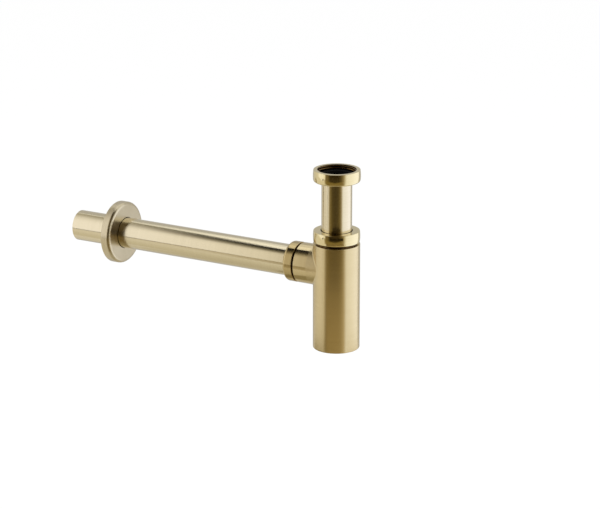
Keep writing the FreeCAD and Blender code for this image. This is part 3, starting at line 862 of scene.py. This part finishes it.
plastic, tree = new_material("polyethylene_moulded")
place = add(tree, "ShaderNodeTexCoord").outputs["Object"]
grain = add(tree, "ShaderNodeTexNoise", {"Vector": place, "Scale": 1 / PLASTIC_GRAIN})
colours = add(tree, "ShaderNodeMix", {0: grain.outputs[0], 6: linear("DAD9D2"), 7: linear("E8E7E1")},
              data_type="RGBA")
relief = add(tree, "ShaderNodeBump",
             {"Height": grain.outputs[0], "Strength": 1.0, "Distance": PLASTIC_RELIEF})
skin = add(tree, "ShaderNodeBsdfPrincipled", {
    "Base Color": colours.outputs[2],
    "Roughness": 0.45,
    "IOR": 1.51,
    "Normal": relief.outputs[0],
    "Subsurface Weight": 0.15,
    "Subsurface Scale": LIGHT_DEPTH,
})
add(tree, "ShaderNodeOutputMaterial", {"Surface": skin.outputs[0]})
for node in ("top_slip_ring", "outlet_slip_ring"):
    dress(node, plastic)

# %% [markdown]
# ## Screw threads
#
# Every nut here screws on to something, and the gap under the top nut shows a glint of the
# neck's thread. A construction model keeps threads as plain walls, and a bump in a material
# would leave the edge smooth, so the ridges are added here: a small trapezium swept along a
# helix, thinning out at both ends as a real tool runs out. A mating pair shares one helix,
# half a pitch apart, so that the ridges lie between one another and stay there while the
# nut turns and climbs.

# %% Corners of a ridge
STEPS_PER_TURN = 96
FEWEST_STEPS = 8
# The foot is sunk into the wall by this many millimetres, so that no gap shows.
SUNK = 0.05
# Half the ridge's width at its foot and at its crest, as shares of the pitch.
FOOT_SHARE, CREST_SHARE = 0.34, 0.06
# The ridge runs out over this many turns, down to this share of its height.
RUN_OUT = 0.35
END_HEIGHT = 0.08


def ridge_corners(root, crest, pitch, lie, low, high, half_pitch):
    """Four corners for each step of a right-handed ridge, and its turns; sizes are in millimetres.
    The axis is up for the inlet, towards the wall for the branch."""
    foot = root + (SUNK if crest < root else -SUNK)
    wide, sharp = FOOT_SHARE * pitch, CREST_SHARE * pitch
    turns = (high - low - 2 * wide) / pitch
    count = max(FEWEST_STEPS, int(turns * STEPS_PER_TURN))
    corners = []
    for i in range(count + 1):
        turn = turns * i / count
        at = low + wide + turn * pitch
        lead = (at + (pitch / 2 if half_pitch else 0)) / pitch
        angle = 2 * math.pi * lead
        ends = min(1.0, turn / RUN_OUT, (turns - turn) / RUN_OUT)
        tip = foot + (crest - foot) * (END_HEIGHT + (1 - END_HEIGHT) * ends)
        for radius, shift in ((foot, -wide), (tip, -sharp), (tip, sharp), (foot, wide)):
            across, beside = radius * math.cos(angle), radius * math.sin(angle)
            if lie == "upright":
                spot = Vector((across, beside, at + shift))
            else:
                spot = Vector((-(at + shift), beside, across + TUBE_LEVEL / MM))
            corners.append(spot * MM)
    return corners, turns


print("ridges have", STEPS_PER_TURN, "steps in a turn")

# %% Ridge from its corners
# A thread is bare brass, as the tool cut it, dull so that it glints but never shines; its dark brown is also
# painted shade, for the shade in the gaps round the nuts.
bare_shaded_brass = brass("brass_turned_bare_shaded", "upright", ("7A6038", "5E4A2A"), rough=0.30, smear=0.0,
                   depth=0.004 * MM)


def thread(name, body, slot, corners, turns):
    """Joins the corners to a closed ridge that moves with a body."""
    count = len(corners) // 4 - 1
    faces = [(4 * i + k, 4 * i + k + 1, 4 * i + k + 5, 4 * i + k + 4)
             for i in range(count) for k in range(3)]
    faces += [(4 * i + 3, 4 * i, 4 * i + 4, 4 * i + 7) for i in range(count)]
    faces += [(3, 2, 1, 0), tuple(4 * count + k for k in range(4))]
    mesh = bpy.data.meshes.new(name)
    mesh.from_pydata(corners, [], faces)
    mesh.validate()
    mesh.materials.append(bare_shaded_brass)
    ridge = bpy.data.objects.new(name, mesh)
    bpy.context.scene.collection.objects.link(ridge)
    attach(ridge, body)
    print(name, round(turns, 1), "turns,", len(faces), "faces")


# %% Threads
# The union's thread has the pitch of a pipe thread with 11 turns to the inch.
PIPE_PITCH = 2.309
NUT_PITCH = 1.5

# Root and crest radius, pitch, how it lies, low and high end, and whether it is half a pitch on.
for name, body, slot, *shape in [
    ("union_nut_thread", "union_nut", "brass_polished", 20.2, 19.5, PIPE_PITCH, "upright", -5.3, -0.1, False),
    ("neck_thread", "bottle", "brass_brushed", 20.6, 21.4, NUT_PITCH, "upright", -79.2, -72.4, False),
    ("top_nut_thread", "top_nut", "brass_polished", 21.6, 20.8, NUT_PITCH, "upright", -76.5, -69.2, True),
    ("branch_thread", "bottle", "brass_brushed", 18.8, 19.6, NUT_PITCH, "lying", 40.8, 47.8, False),
    ("outlet_nut_thread", "outlet_nut", "brass_brushed", 19.8, 19.0, NUT_PITCH, "lying", 43.2, 50.4, True),
    ("plug_thread", "plug", "brass_brushed", 17.0, 17.8, NUT_PITCH, "upright", -188.8, -184.1, False),
    ("base_thread", "bottle", "brass_brushed", 18.0, 17.2, NUT_PITCH, "upright", -188.8, -184.1, True),
]:
    thread(name, body, slot, *ridge_corners(*shape))
